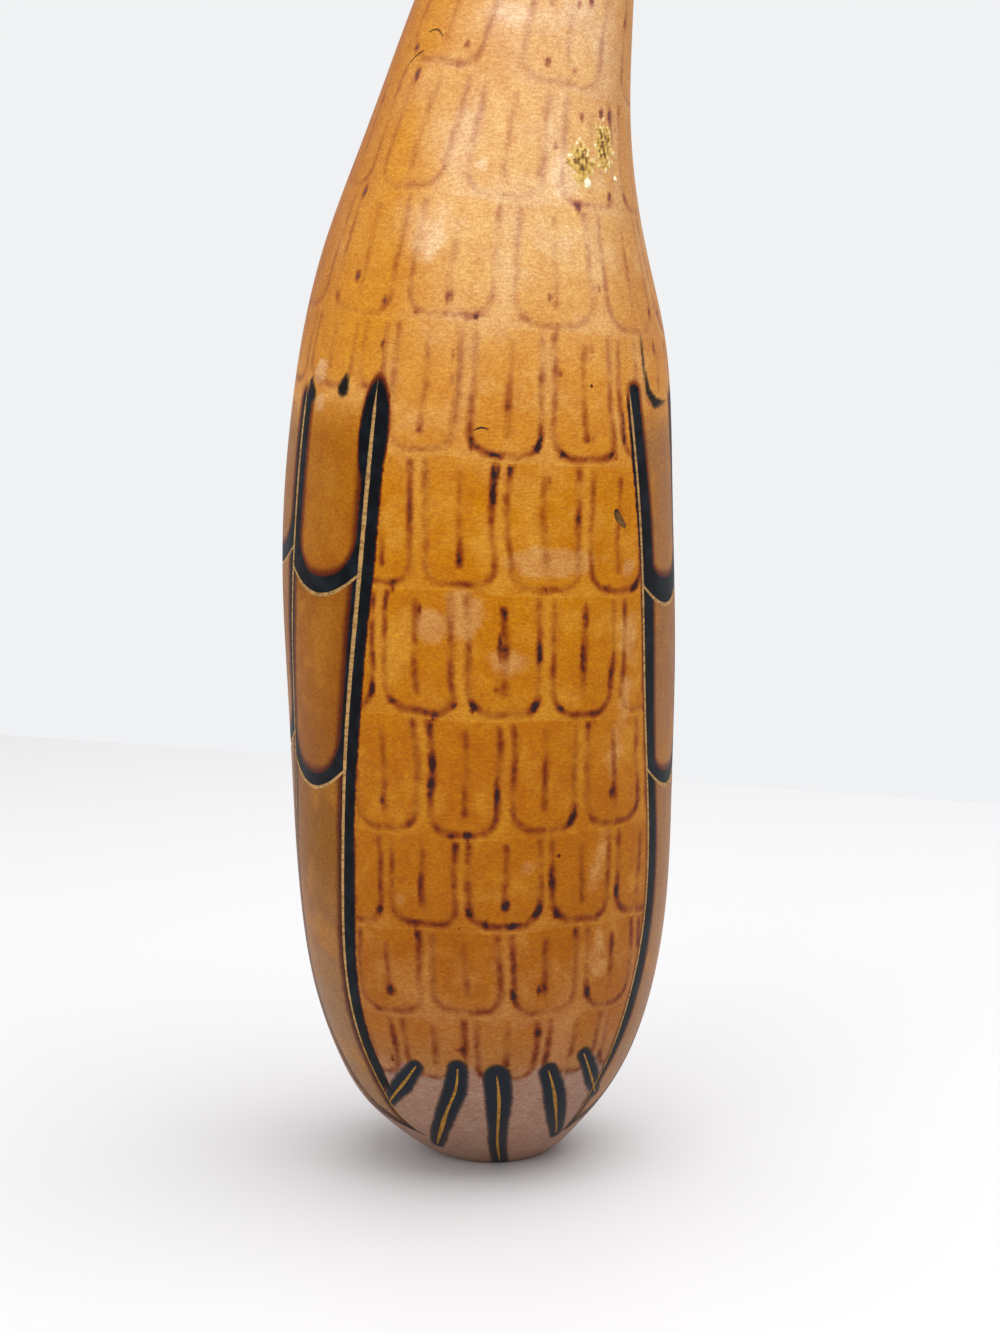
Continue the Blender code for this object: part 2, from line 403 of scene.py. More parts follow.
def skin_points(turn, along, raised=0.0):
    """Points on the skin, and the girth's radius there. Turn is in degrees, along and raised in metres.

    A round of the given radius stands on the gourd's bent middle line and leans by the given angle. Its
    radius swells by a few sine waves, and waves again as the stem's furrows.
    """
    turn, along, raised = np.broadcast_arrays(np.radians(turn), along, raised)
    rows = smooth_rows(STATION_ALONG, STATIONS, along.ravel()).reshape(along.shape + (5,))
    height, side, back, radius, lean = np.moveaxis(rows, -1, 0)
    turn = turn + DRAWN_ASIDE / np.maximum(radius, WAIST_RADIUS)
    lean = np.radians(lean)
    swell = sum(rise * np.sin(count * turn + wind * height + start) for count, wind, start, rise in SWELLS)
    swell = swell * ease(0.0, SWELLS_BEGIN, height) * (1.0 - ease(SWELLS_END, TIP_HEIGHT, height))
    stem = ease(TIP_HEIGHT, STEM_NECK_HEIGHT, height)
    reach = (radius + swell) * (1.0 + STEM_FURROW * stem * np.cos(STEM_RIDGES * turn)) - SKIN_INSET + raised
    x = side + reach * np.sin(turn) * np.cos(lean)
    y = back - reach * np.cos(turn)
    z = height - reach * np.sin(turn) * np.sin(lean)
    return np.stack([x, y, z], axis=-1), radius


def skin_normals(turn, along):
    """Outward directions: across the skin's slope round the gourd and its slope along it."""
    step_turn, step_along = 0.05, 0.0002
    round_it = skin_points(turn + step_turn, along)[0] - skin_points(turn - step_turn, along)[0]
    up_it = skin_points(turn, along + step_along)[0] - skin_points(turn, along - step_along)[0]
    normal = np.cross(round_it, up_it)
    return normal / np.linalg.norm(normal, axis=-1, keepdims=True)


def new_mesh_object(name, points, faces, materials):
    mesh = bpy.data.meshes.new(name)
    mesh.from_pydata(points.reshape(-1, 3).tolist(), [], faces)
    for material in materials:
        mesh.materials.append(material)
    thing = bpy.data.objects.new(name, mesh)
    bpy.context.scene.collection.objects.link(thing)
    return thing


def wrapped(turn):
    """A turn brought between -180 and 180 degrees."""
    return (turn + 180.0) % 360.0 - 180.0


def hidden_touches():
    """The burner's touches on the scales out of view, drawn by lot where the seen ones lie."""
    lot = np.random.default_rng(31)
    tops = [row[0] for row in SCALE_ROWS[1:]] + [SCALE_ROWS[-1][0] + 32.0]
    for (bottom, count, first, share), top in zip(SCALE_ROWS, tops):
        pitch = 360.0 / count
        for number in range(count):
            for aside, up, tall, likely in TOUCH_KINDS:
                chance, force, shift = lot.random(3)
                turn = wrapped(first + (number + aside * share * 0.5) * pitch)
                seen = abs(turn - SEEN_MIDDLE) < SEEN_REACH and bottom < SEEN_TOP
                if chance < likely and not seen:
                    yield turn, bottom + (top - bottom) * up + shift * 2.0, tall, 0.55 + 0.45 * force


def soft_ovals(turn, along_mm, girth_mm, ovals):
    """The strongest of several soft ovals at each place.

    Each falls off as the exponential of minus the square of the distance from its middle, in shares of its
    half width and half height.
    """
    strongest = np.zeros(np.broadcast_shapes(turn.shape, along_mm.shape))
    for middle_turn, middle_along, wide, tall, lean, strength in ovals:
        up = along_mm - middle_along
        across = np.radians(wrapped(turn - middle_turn)) * girth_mm - lean * up
        strongest = np.maximum(strongest, strength * np.exp(-((across / wide) ** 2) - (up / tall) ** 2))
    return strongest


def inside_marks(turn, along_mm, girth_mm, marks):
    """How deep a place lies inside the nearest of several marks, in millimetres, and below 0 outside them.

    A mark is a chain of straight pieces on the skin, with half its width given at each of its places.
    """
    deepest = np.full(np.broadcast_shapes(turn.shape, along_mm.shape), -9.0)
    for places, halves in marks:
        pieces = zip(places, places[1:], halves, halves[1:])
        for (turn_1, along_1), (turn_2, along_2), half_1, half_2 in pieces:
            step_x, step_y = np.radians(turn_2 - turn_1) * girth_mm, along_2 - along_1
            x, y = np.radians(wrapped(turn - turn_1)) * girth_mm, along_mm - along_1
            share = np.clip((x * step_x + y * step_y) / (step_x**2 + step_y**2), 0.0, 1.0)
            away = np.hypot(x - share * step_x, y - share * step_y)
            deepest = np.maximum(deepest, half_1 + (half_2 - half_1) * share - away)
    return deepest


def skin_net(materials):
    """The gourd's skin as a closed net, with a point in the middle of the foot and of the stem's end.

    Its rings run out over the flat foot, up the skin in even steps, and in over the stem's hollow end. The
    map named skin holds the turn and the length along as shares. Girth holds the radius in metres, dwell
    how long the burner stayed, scuff how far the varnish is worn thin together with a painted
    sheen of reflected light, and inked how deep a place lies in a black mark.
    """
    foot = np.array((0.25, 0.6, 0.85, 0.97)) * FOOT_RADIUS - FOOT_RADIUS
    skin = np.linspace(0.0, SKIN_LENGTH, int(SKIN_LENGTH / SKIN_STEP))
    end = np.array((0.8, 0.5, 0.3))
    turn = np.arange(SKIN_SIDES) * 360.0 / SKIN_SIDES - 180.0

    body, girth = skin_points(turn[None, :], skin[:, None])
    foot_middle = body[0].mean(axis=0)
    foot_share = (foot + FOOT_RADIUS) / FOOT_RADIUS
    foot_rings = foot_middle + (body[0] - foot_middle)[None] * foot_share[:, None, None]
    end_middle = body[-1].mean(axis=0)
    inward = body[-8].mean(axis=0) - end_middle
    inward = inward / np.linalg.norm(inward)
    end_rings = end_middle + (body[-1] - end_middle)[None] * end[:, None, None]
    end_rings = end_rings + inward * (np.array((0.0, 0.35, 1.1)) * MM)[:, None, None]
    rings = np.concatenate([foot_rings, body, end_rings])
    along = np.concatenate([foot, skin, np.full(len(end), SKIN_LENGTH)])
    girths = np.concatenate([np.full(len(foot), FOOT_RADIUS), girth[:, 0], np.full(len(end), STEM_RADIUS)])

    row, col = np.meshgrid(np.arange(len(rings) - 1), np.arange(SKIN_SIDES), indexing="ij")
    corners_row = np.stack([row, row, row + 1, row + 1], axis=-1).reshape(-1, 4)
    corners_col = np.stack([col, col + 1, col + 1, col], axis=-1).reshape(-1, 4)
    quads = corners_row * SKIN_SIDES + corners_col % SKIN_SIDES
    count = len(rings) * SKIN_SIDES
    end_point = end_middle + inward * END_HOLLOW
    points = np.concatenate([rings.reshape(-1, 3), foot_middle[None], end_point[None]])
    first, following = np.arange(SKIN_SIDES), (np.arange(SKIN_SIDES) + 1) % SKIN_SIDES
    foot_fan = np.stack([np.full(SKIN_SIDES, count), following, first], axis=-1)
    top = count - SKIN_SIDES
    end_fan = np.stack([np.full(SKIN_SIDES, count + 1), top + first, top + following], axis=-1)
    faces = quads.tolist() + foot_fan.tolist() + end_fan.tolist()
    thing = new_mesh_object("gourd_skin", points, faces, materials)

    span = SKIN_LENGTH + FOOT_RADIUS
    quad_map = np.stack([corners_col / SKIN_SIDES, (along[corners_row] + FOOT_RADIUS) / span], axis=-1)
    fan_turn = np.stack([first + 0.5, first + 1, first], axis=-1) / SKIN_SIDES
    foot_map = np.stack([fan_turn, np.broadcast_to([0.0, 0.008, 0.008], fan_turn.shape)], axis=-1)
    end_map = np.stack([fan_turn[:, [0, 2, 1]], np.full(fan_turn.shape, 1.0)], axis=-1)
    flat = np.concatenate([quad_map.reshape(-1, 2), foot_map.reshape(-1, 2), end_map.reshape(-1, 2)])
    thing.data.uv_layers.new(name="skin").data.foreach_set("uv", flat.astype(np.float32).ravel())
    burned = (*BURNT_TOUCHES, *hidden_touches())
    touches = [(place, up, TOUCH_WIDTH, tall, 0.0, dark) for place, up, tall, dark in burned]
    net = turn[None, :], along[:, None] / MM, girths[:, None] / MM
    black_marks = [(places, halves) for places, widths, halves in TAIL_CUTS] + list(SHOULDER_MARKS)
    marks = {
        "girth": np.broadcast_to(girths[:, None], (len(rings), SKIN_SIDES)),
        "dwell": soft_ovals(*net, touches),
        "scuff": soft_ovals(*net, SCUFFS_AND_SHEEN),
        "inked": inside_marks(*net, black_marks),
    }
    for name, mark in marks.items():
        fans = np.repeat([mark[0].mean(), mark[-1].mean()], 3 * SKIN_SIDES)
        corners = np.concatenate([mark[corners_row, corners_col % SKIN_SIDES].ravel(), fans])
        layer = thing.data.attributes.new(name, "FLOAT", "CORNER")
        layer.data.foreach_set("value", corners.astype(np.float32))
    places = along[corners_row[:, 0]]
    kinds = np.where(places < -0.0001, 1, np.where(places > TIP_ALONG, 2, 0))
    kinds = np.concatenate([kinds, np.full(SKIN_SIDES, 1), np.full(SKIN_SIDES, 2)])
    thing.data.polygons.foreach_set("material_index", kinds.astype(np.int32))
    return thing


def wing_line(side, which, along_mm):
    """The turn of a wing's line, from the back's middle and the table's spline."""
    middle, *outward = smooth_rows(WING_LINES[:, 0], WING_LINES[:, 1:], np.asarray(along_mm, float)).T
    return middle + side * outward["ABC".index(which)]


def tip_arc(side, inner, bottom, across):
    """The turn and length along a feather's tip, a parabola from its inner line to its outer one."""
    outer = "ABC"["ABC".index(inner) + 1]
    along = bottom + TIP_RISE * across**2
    low, high = wing_line(side, inner, along), wing_line(side, outer, along)
    return low + (high - low) * (across + 1.0) / 2.0, along


def gouge(turn, along_mm, width_mm):
    """A cutter for one stroke of a round gouge: a tube that dips into the skin by GOUGE_DEPTH of its width.

    The tube follows points on the skin. Its radius grows and shrinks with the stroke's width, and its
    middle stands as far above the skin as makes the cut that wide.
    """
    lift = width_mm * MM * GOUGE_ABOVE
    radius = width_mm * MM * GOUGE_RADIUS
    normal = skin_normals(turn, along_mm * MM)
    middle = skin_points(turn, along_mm * MM)[0] + normal * lift[:, None]
    forward = np.gradient(middle, axis=0)
    forward = forward / np.linalg.norm(forward, axis=1, keepdims=True)
    aside = np.cross(forward, normal)
    aside = aside / np.linalg.norm(aside, axis=1, keepdims=True)
    upward = np.cross(aside, forward)
    circle = np.arange(GOUGE_SIDES) * 2.0 * math.pi / GOUGE_SIDES
    ring = np.cos(circle)[None, :, None] * aside[:, None] + np.sin(circle)[None, :, None] * upward[:, None]
    points = middle[:, None] + ring * radius[:, None, None]
    row, col = np.meshgrid(np.arange(len(points) - 1), np.arange(GOUGE_SIDES), indexing="ij")
    following = (col + 1) % GOUGE_SIDES
    quads = [row * GOUGE_SIDES + col, (row + 1) * GOUGE_SIDES + col]
    quads = quads + [(row + 1) * GOUGE_SIDES + following, row * GOUGE_SIDES + following]
    faces = np.stack(quads, axis=-1).reshape(-1, 4).tolist()
    last = (len(points) - 1) * GOUGE_SIDES
    faces.append(list(range(GOUGE_SIDES)))
    faces.append(list(range(last + GOUGE_SIDES - 1, last - 1, -1)))
    return points.reshape(-1, 3), faces


def join_gouges(name, strokes, material):
    points, faces, used = [], [], 0
    for stroke_points, stroke_faces in strokes:
        points.append(stroke_points)
        faces.extend([[corner + used for corner in face] for face in stroke_faces])
        used += len(stroke_points)
    return new_mesh_object(name, np.concatenate(points), faces, [material])


def drawn(places, widths, spacing_mm=0.8):
    """A smooth path through a few places (turn, along) with a width at each, in steps of spacing_mm."""
    places, widths = np.array(places, float), np.array(widths, float)
    girth = smooth_rows(STATION_ALONG, STATIONS, places[:, 1] * MM)[:, 3] / MM
    moves = np.diff(np.stack([np.radians(places[:, 0]) * girth, places[:, 1]], axis=1), axis=0)
    travelled = np.concatenate([[0.0], np.cumsum(np.linalg.norm(moves, axis=1))])
    wanted = np.linspace(0.0, travelled[-1], max(4, int(travelled[-1] / spacing_mm)))
    turn, along = smooth_rows(travelled, places, wanted).T
    return turn, along, np.interp(wanted, travelled, widths)


def wing_strokes():
    """The gouge's strokes in four sets, so that no two strokes of a set meet."""
    long_cuts, second_cuts, third_cuts, arcs = [], [], [], []
    for side in (-1, 1):
        for which, cuts, (low, high) in (
            ("A", long_cuts, (WING_TIP + 0.5, WING_TOP + 1.5)),
            ("B", second_cuts, (WING_TIP + 5.0, WING_TOP)),
            ("C", third_cuts, (WING_TIP + 5.0, WING_TOP)),
        ):
            along = np.arange(low, high, 0.9)
            width = np.interp(along, *LINE_WIDTHS[which, side])
            width = width * (1.0 + 0.10 * np.sin(along * 0.9 + side) * np.sin(along * 0.23))
            width = np.maximum(width * ease(0.0, 9.0, along - low) * ease(0.0, 9.0, high - along), 0.08)
            cuts.append(gouge(wing_line(side, which, along), along, width))
        for inner, bottoms in TIP_BOTTOMS[side].items():
            for bottom in bottoms:
                across = np.linspace(-0.99, 0.99, 44)
                turn, along = tip_arc(side, inner, bottom, across)
                width = ARC_WIDTH * (1.0 - 0.45 * np.abs(across) ** 3)
                arcs.append(gouge(turn, along, width))
    return long_cuts, second_cuts, third_cuts, arcs


def carve(skin, fresh, weathered):
    """Cuts every stroke out of the skin. The faces of a cut get the bare flesh's material, fresh or old."""
    long_cuts, second_cuts, third_cuts, arcs = wing_strokes()
    tail = [gouge(*drawn(places, widths)) for places, widths, halves in TAIL_CUTS]
    old_cuts = [gouge(*drawn(*places_and_widths)) for places_and_widths in (*SCRATCHES, SCAR)]
    cuts = [(strokes, fresh) for strokes in (long_cuts, second_cuts, third_cuts, arcs, tail)]
    for strokes, material in (*cuts, (old_cuts, weathered)):
        cutter = join_gouges("cutter", strokes, material)
        cut = skin.modifiers.new("cut", "BOOLEAN")
        cut.operation = "DIFFERENCE"
        cut.object = cutter
        cut.solver = "MANIFOLD"
        cut.material_mode = "TRANSFER"
        evaluated = skin.evaluated_get(bpy.context.evaluated_depsgraph_get())
        shaped = bpy.data.meshes.new_from_object(evaluated)
        skin.modifiers.remove(cut)
        skin.data = shaped
        bpy.data.objects.remove(cutter, do_unlink=True)
    skin.data.shade_smooth()
    skin.data.set_sharp_from_angle(angle=SHARP_ANGLE)


def cloudy(lot, x, y, longest, shortest, count=36):
    """Cloudy relief from -1 to 1: a sum of small waves in directions, lengths and starts drawn by lot."""
    total = np.zeros(x.shape)
    for direction, size, start in zip(*lot.random((3, count))):
        number = 2.0 * math.pi / (shortest + (longest - shortest) * size)
        bearing = 2.0 * math.pi * direction
        total += np.sin(number * (x * math.cos(bearing) + y * math.sin(bearing)) + 2.0 * math.pi * start)
    return total / np.abs(total).max()


def gilt_crust(material):
    """Two patches of crackled crust, each a closed slab whose root lies in the skin.

    Its top rises as an oval dome plus cloudy relief. Where that is below the skin it is out of sight, so
    the patch breaks up into flakes. Rise holds the height as a share, and is 1 on the pale grain.
    """
    lot = np.random.default_rng(5)
    points, faces, rises, used = [], [], [], 0
    for (turn, along_mm), (wide, tall), (grain_turn, grain_along) in CRUSTS:
        reach_x, reach_y = wide * CRUST_MARGIN, tall * CRUST_MARGIN
        x, y = np.meshgrid(np.arange(-reach_x, reach_x, CRUST_STEP), np.arange(-reach_y, reach_y, CRUST_STEP))
        girth = skin_points(turn, along_mm * MM)[1] / MM
        ragged_x = x + cloudy(lot, x, y, 7.0, 2.5) * 2.2
        ragged_y = y + cloudy(lot, x, y, 7.0, 2.5) * 2.2
        dome = 1.0 - (ragged_x / wide) ** 2 - (ragged_y / tall) ** 2
        relief = cloudy(lot, x, y, 3.4, 1.1) * 0.80 + cloudy(lot, x, y, 0.9, 0.5) * 0.26
        grain_x = x - np.radians(grain_turn - turn) * girth
        grain = np.exp(-((grain_x / GRAIN_WIDE) ** 2) - ((y - grain_along + along_mm) / GRAIN_TALL) ** 2)
        height = np.clip(dome, -1.0, 0.5) * 0.38 + relief * 0.34 - 0.04
        height = np.maximum(height, grain * 0.55 - 0.12)
        border = np.ones(x.shape, bool)
        border[1:-1, 1:-1] = False
        height = np.where(border, CRUST_SUNK, np.clip(height, CRUST_SUNK, CRUST_TOP))
        turns = turn + np.degrees(x / girth)
        top = skin_points(turns, (along_mm + y) * MM, height * MM)[0]
        root = skin_points(turns, (along_mm + y) * MM, -CRUST_ROOT * MM)[0]
        rows, cols = x.shape
        upper = np.arange(rows * cols).reshape(rows, cols)
        lower = upper + rows * cols
        quads = [np.stack([upper[:-1, :-1], upper[:-1, 1:], upper[1:, 1:], upper[1:, :-1]], axis=-1)]
        quads += [np.stack([lower[:-1, :-1], lower[1:, :-1], lower[1:, 1:], lower[:-1, 1:]], axis=-1)]
        rim = np.concatenate([upper[0, :-1], upper[:-1, -1], upper[-1, :0:-1], upper[:0:-1, 0]])
        following = np.roll(rim, -1)
        quads += [np.stack([rim, rim + rows * cols, following + rows * cols, following], axis=-1)]
        points += [top.reshape(-1, 3), root.reshape(-1, 3)]
        faces += [part.reshape(-1, 4) + used for part in quads]
        share = np.clip(0.70 - 0.34 * np.clip(dome, 0.0, 1.0) + relief * 0.70 + grain * 1.2, 0.0, 1.0)
        rises += [share.ravel(), np.zeros(share.size)]
        used += 2 * rows * cols
    faces = np.concatenate(faces).tolist()
    crust = new_mesh_object("gilt_crust", np.concatenate(points), faces, [material])
    layer = crust.data.attributes.new("rise", "FLOAT", "POINT")
    layer.data.foreach_set("value", np.concatenate(rises).astype(np.float32))
    crust.data.shade_smooth()
    return crust


class Value:
    """A number that changes over a surface. Sums written with it add Math nodes to its paint."""

    def __init__(self, paint, socket):
        self.paint = paint
        self.socket = socket

    def math(self, operation, *others):
        given = dict(enumerate((self, *others)))
        return Value(self.paint, self.paint.node("Math", {"operation": operation}, given).outputs[0])

    def __add__(self, other):
        return self.math("ADD", other)

    def __radd__(self, other):
        return self.math("ADD", other)

    def __mul__(self, other):
        return self.math("MULTIPLY", other)

    def __rmul__(self, other):
        return self.math("MULTIPLY", other)

    def __sub__(self, other):
        return self.math("SUBTRACT", other)

    def __rsub__(self, other):
        return (self * -1.0) + other

    def __truediv__(self, other):
        return self.math("DIVIDE", other)

    def __rtruediv__(self, other):
        made = self.paint.node("Math", {"operation": "DIVIDE"}, {0: other, 1: self})
        return Value(self.paint, made.outputs[0])

    def __abs__(self):
        return self.math("ABSOLUTE")

    def higher(self, other):
        return self.math("MAXIMUM", other)

    def lower(self, other):
        return self.math("MINIMUM", other)

    def above(self, other):
        return self.math("GREATER_THAN", other)

    def below(self, other):
        return self.math("LESS_THAN", other)

    def wrapped(self, low, high):
        return self.math("WRAP", high, low)

    def ease(self, low, high):
        """0 at low, 1 at high, and a smooth S between them. Low may be the greater."""
        given = {"Value": self, "From Min": low, "From Max": high}
        made = self.paint.node("MapRange", {"interpolation_type": "SMOOTHSTEP"}, given)
        return Value(self.paint, made.outputs[0])

    def blend(self, low, high):
        """low where this is 0, high where it is 1."""
        return self * (high - low) + low


def length_of(across, up):
    return (across * across + up * up).math("SQRT")


class Paint:
    """The nodes of one material."""

    def __init__(self, name, **uniform):
        self.material = bpy.data.materials.new(name)
        self.material.use_nodes = True
        self.tree = self.material.node_tree
        self.surface = self.tree.nodes["Principled BSDF"]
        self.give(self.surface, {key.replace("_", " "): setting for key, setting in uniform.items()})
        self.places = self.node("TexCoord").outputs["Object"]

    def give(self, node, given):
        """Sets or links a node's sockets, named or numbered."""
        for key, what in given.items():
            if isinstance(what, Value):
                what = what.socket
            if isinstance(what, bpy.types.NodeSocket):
                self.tree.links.new(what, node.inputs[key])
            else:
                node.inputs[key].default_value = what

    def node(self, kind, settings=None, given=None):
        """Adds a node of that kind, sets it, and then gives its sockets their values or links."""
        made = self.tree.nodes.new("ShaderNode" + kind)
        settings = dict(settings or {})
        stops = settings.pop("stops", None)
        points = settings.pop("points", None)
        for key, setting in settings.items():
            setattr(made, key, setting)
        if stops:
            elements = made.color_ramp.elements
            elements[0].position, elements[0].color = stops[0]
            elements[1].position, elements[1].color = stops[-1]
            for position, colour in stops[1:-1]:
                elements.new(position).color = colour
        if points:
            line = made.mapping.curves[0].points
            line[0].location, line[1].location = points[0], points[-1]
            for point in points[1:-1]:
                line.new(*point)
            made.mapping.update()
        self.give(made, given or {})
        return made

    def value(self, socket):
        return Value(self, socket)

    def vector(self, x, y, z=0.0):
        return self.node("CombineXYZ", None, {"X": x, "Y": y, "Z": z}).outputs[0]

    def noise(self, size_mm, detail=2.0, stretch=(1.0, 1.0, 1.0), number=None, rough=0.5):
        """Cloudy noise, 0 to 1, whose clouds are about size_mm wide. A number makes another noise of it."""
        places = self.places
        if stretch != (1.0, 1.0, 1.0):
            places = self.node("VectorMath", {"operation": "MULTIPLY"}, {0: places, 1: stretch}).outputs[0]
        given = {"Vector": places, "Scale": 1.0 / (size_mm * MM), "Detail": detail, "Roughness": rough}
        if number is None:
            return self.value(self.node("TexNoise", {"noise_dimensions": "3D"}, given).outputs["Fac"])
        given["W"] = number
        return self.value(self.node("TexNoise", {"noise_dimensions": "4D"}, given).outputs["Fac"])

    def curve(self, value, places, heights):
        """A smooth curve through the given heights at the given places."""
        low, high = min(places), max(places)
        floor, top = min(heights), max(heights)
        top = top if top > floor else floor + 1.0
        points = [((x - low) / (high - low), (y - floor) / (top - floor)) for x, y in zip(places, heights)]
        share = (value - low) / (high - low)
        made = self.node("FloatCurve", {"points": points}, {"Value": share.higher(0.0).lower(1.0)})
        return self.value(made.outputs[0]) * (top - floor) + floor

    def mix(self, share, first, second, kind="MIX"):
        """Colours: first where share is 0, second where it is 1."""
        given = {"Factor": share, 6: first, 7: second}
        return self.node("Mix", {"data_type": "RGBA", "blend_type": kind}, given).outputs[2]

    def shades(self, value, table):
        """The table's colours where the value is at its places, and between them smooth mixes."""
        last = table[-1][0]
        stops = [(place / last, colour(*shade)) for place, shade in table]
        return self.node("ValToRGB", {"stops": stops}, {0: value / last}).outputs[0]

    def finish(self, colour=None, roughness=None, height=None, height_mm=0.1):
        """Links the colour, the roughness and a bump of height_mm to the shader."""
        if colour is not None:
            self.give(self.surface, {"Base Color": colour})
        if roughness is not None:
            self.give(self.surface, {"Roughness": roughness})
        if height is not None:
            bump = self.node("Bump", None, {"Strength": 1.0, "Distance": height_mm * MM, "Height": height})
            self.give(self.surface, {"Normal": bump.outputs[0]})
        return self.material


def colour(red, green, blue):
    """A colour as seen on a screen, 0 to 255, turned into the light it stands for."""
    screen = np.array((red, green, blue)) / 255.0
    light = np.where(screen <= 0.04045, screen / 12.92, ((screen + 0.055) / 1.055) ** 2.4)
    return (*light.tolist(), 1.0)


def stroke(distance, half_width, blur):
    """1 in the middle of a burned line, falling softly to 0 beyond half_width + blur."""
    return 1.0 - abs(distance).ease(half_width - blur, half_width + blur)


def spot(across, up, wide, tall):
    """1 in the middle of an oval, 0 outside it."""
    return 1.0 - length_of(across / wide, up / tall).ease(0.45, 1.25)


class Skin:
    """Where a point of the skin lies: its turn, how far along, and its place on the back and wings."""

    def __init__(self, paint):
        given = {0: paint.node("UVMap", {"uv_map": "skin"}).outputs["UV"]}
        place = paint.node("SeparateXYZ", None, given).outputs
        girth = paint.node("Attribute", {"attribute_name": "girth"}).outputs["Fac"]
        self.paint = paint
        self.turn = paint.value(place[0]) * 360.0 - 180.0
        self.along = paint.value(place[1]) * ((SKIN_LENGTH + FOOT_RADIUS) / MM) - FOOT_RADIUS / MM
        self.degree = paint.value(girth) * (math.radians(1.0) / MM)

        self.dwell, self.scuff, self.inked = (
            paint.value(paint.node("Attribute", {"attribute_name": name}).outputs["Fac"])
            for name in ("dwell", "scuff", "inked")
        )

        self.broad = paint.noise(24.0, 1.0) - 0.5
        self.fine = paint.noise(1.3, 2.0) - 0.5
        drift = paint.noise(38.0, 1.0, number=3.7) - 0.5
        self.drawn_turn = self.turn + drift * 7.0 / self.degree
        self.drawn_along = self.along + self.broad * 4.0

        lengths = WING_LINES[:, 0].tolist()
        middle, *outward = (paint.curve(self.along, lengths, column.tolist()) for column in WING_LINES.T[1:])
        away = (self.turn - middle).wrapped(-180.0, 180.0)
        self.right = away.above(0.0)
        self.away = abs(away)
        self.lines = outward
        self.past = [(self.away - line) * self.degree for line in outward]
        self.in_span = self.past[0].above(0.0) * self.past[2].below(0.0)
        below_top = self.along.ease(WING_TOP - 3.0, WING_TOP - 7.0)
        self.in_wing = self.in_span * below_top * self.along.above(WING_TIP)


def scale_marks(skin):
    """How burned the skin is by the rows of scales, whether it lies below the last row, and between scales.

    Each row's room is shared out evenly. A scale is an upright bar with a rounded lower end, and its
    outline is drawn where the distance to that shape is near zero. A quill runs down its middle.
    """
    paint, along = skin.paint, skin.drawn_along
    sinking = along.ease(125.0, 165.0) * along.ease(262.0, 238.0)
    tilted = along + (skin.turn - SEEN_MIDDLE).math("RADIANS").math("SINE") * TILT * sinking
    reached = tilted + LINE_OVERLAP
    steps = [reached.above(row[0]) for row in SCALE_ROWS[1:]]
    rows = [(bottom, 360.0 / count, first, share) for bottom, count, first, share in SCALE_ROWS]
    tops = [(row[0],) for row in rows[1:]] + [(SKIN_LENGTH / MM,)]

    def climb(column, table):
        total = table[0][column]
        for step, row, lower in zip(steps, table[1:], table):
            if row[column] != lower[column]:
                total = step * (row[column] - lower[column]) + total
        return total

    shoulder = skin.in_span * steps[SHOULDER_ROW - 1] * (1.0 - steps[SHOULDER_ROW])
    pitch = climb(1, rows)
    bottom = climb(0, rows) + shoulder * SHOULDER_LIFT
    offset = (skin.drawn_turn - climb(2, rows) - shoulder * SHOULDER_TURN) / pitch
    number = offset.math("ROUND")
    sideways = (offset - number) * pitch * skin.degree
    up = tilted - bottom
    under_arcs = climb(0, tops) - reached
    half = pitch * skin.degree * climb(3, rows) * 0.5
    corner = half * CORNER_SHARE
    into_corner = length_of((abs(sideways) - half + corner).higher(0.0), (corner - up).higher(0.0))
    inside = corner - into_corner + skin.fine * 0.8

    name = number.wrapped(0.0, 360.0 / pitch)
    hand = name * 1.7 + sideways.above(0.0) * 0.63 + bottom * 0.37
    dashes = paint.noise(8.0, 2.0, number=hand).ease(0.34, 0.68)
    quill_dashes = paint.noise(8.0, 2.0, number=name * 2.3 + bottom * 0.41).ease(0.34, 0.68)

    beads = paint.noise(2.6, 1.0, number=5.5).ease(0.34, 0.62).blend(0.76, 1.10)
    dwell = skin.dwell * (1.0 + skin.fine * 0.6)
    wide = dwell * 0.5 + 1.0
    outline = stroke(inside, wide, 1.05) * (dashes * 0.46 + 0.30) * beads
    outline = outline * (0.45 + under_arcs.ease(0.0, 1.6) * 0.55)
    quill = stroke(sideways + skin.fine * 0.7, wide, 1.05) * (quill_dashes * 0.46 + 0.22) * beads
    quill = quill * up.ease(3.2, 5.2) * under_arcs.ease(1.0, 4.0)
    lines = outline.higher(quill) * (1.0 - along.ease(214.0, 262.0) * 0.40)
    burn = (lines * (1.0 + dwell * 1.6)).higher(dwell.ease(0.28, 0.95) * 0.95)
    mist = inside.ease(2.4, -0.6) * under_arcs.ease(-1.0, 6.0).blend(0.6, 1.0)
    on = 1.0 - skin.in_wing
    tail = (1.0 - steps[0]) * inside.ease(0.3, -0.9) * up.ease(corner, corner - 3.0)
    return burn * on, tail * on, mist * on


